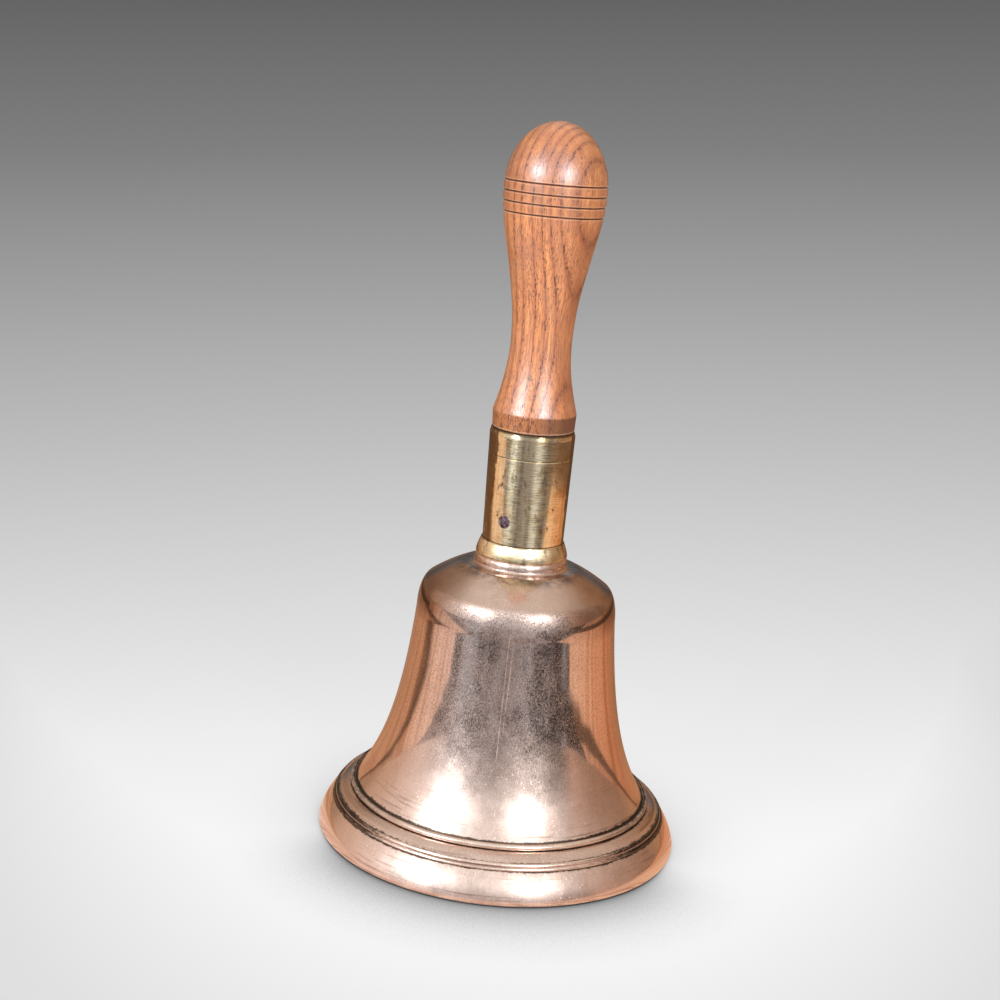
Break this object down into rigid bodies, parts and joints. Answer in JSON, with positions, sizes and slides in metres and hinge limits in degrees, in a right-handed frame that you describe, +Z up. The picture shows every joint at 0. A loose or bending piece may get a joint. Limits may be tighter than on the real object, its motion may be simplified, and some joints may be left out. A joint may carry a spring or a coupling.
{
  "type": "hand bell",
  "caption": "Hand bell: a flared cast bell on a brass ferrule with a turned wooden handle, and an iron clapper that swings on a pin under the crown.",
  "frame": {"origin": "centre of the bell's mouth, on the plane of the lip that it stands on", "axes": "+Z up the axis through the handle, +Y the line of the clapper pin, so the clapper swings along X; the picture looks along +Y"},
  "size_m": [0.152, 0.152, 0.2983],
  "materials": {
    "bell_metal": "polished bell bronze with a rose tint, light brown patina on the crown, fine scratches",
    "ferrule_brass": "turned yellow brass with fine tool lines and dull patches",
    "varnished_wood": "red-brown turned wood under a worn satin varnish",
    "dark_iron": "dark iron, peened and filed flush",
    "washer_leather": "oiled harness leather",
    "forged_iron": "forged black iron with light rubbing",
    "cast_iron_ball": "cast iron, worn bright where it strikes"
  },
  "bodies": {
    "bell_and_handle": {"bell": "bell_metal", "ferrule": "ferrule_brass", "handle": "varnished_wood", "ferrule_pin": "dark_iron", "crown_washer": "washer_leather", "clapper_hanger": "forged_iron", "nut_washer": "forged_iron", "crown_nut": "forged_iron", "clapper_pin": "dark_iron"},
    "clapper": {"clapper_shank": "forged_iron", "clapper_ball": "cast_iron_ball"}
  },
  "joints": [
    {"name": "clapper_swing", "type": "hinge", "parent": "bell_and_handle", "child": "clapper", "pos_m": [0, 0, 0.094], "axis": [0, 1, 0], "range_deg": [-29.5, 29.5]}
  ]
}
